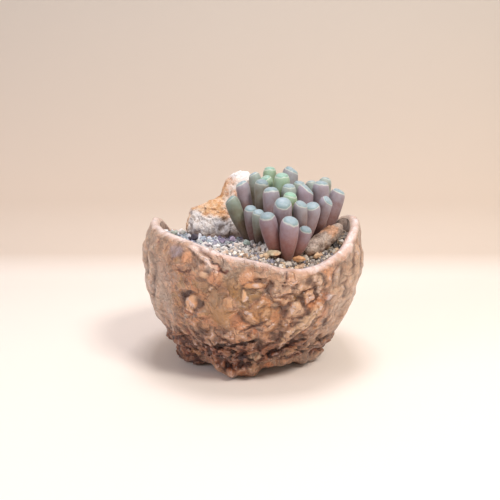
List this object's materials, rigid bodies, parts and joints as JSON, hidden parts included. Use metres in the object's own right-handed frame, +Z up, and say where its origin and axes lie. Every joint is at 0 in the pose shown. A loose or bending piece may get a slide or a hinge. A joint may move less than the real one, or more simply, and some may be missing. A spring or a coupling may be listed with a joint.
{
  "type": "potted succulent",
  "caption": "Clump of club-shaped baby toes leaves in a rough hand-built stoneware pot with a two-horned rim, dressed with grit, a pitted rock and a pebble.",
  "frame": {"origin": "under the middle of the pot, on the surface that it stands on", "axes": "+Z up; the pot's low lip, which the picture shows in front, faces -Y, and its right horn is on +X"},
  "size_m": [0.0938, 0.0952, 0.0841],
  "materials": {
    "pot": "satin",
    "soil": "matte",
    "grit": "matte",
    "rock": "matte",
    "pebble": "matte",
    "leaf": "satin"
  },
  "bodies": {
    "root": {"pot": "pot", "soil": "soil", "grit": "grit", "rock": "rock", "pebble": "pebble", "head_left": "leaf", "head_front": "leaf", "head_middle": "leaf", "head_back_left": "leaf", "head_back": "leaf", "head_right_front": "leaf", "head_right": "leaf", "head_rear": "leaf"}
  },
  "joints": []
}
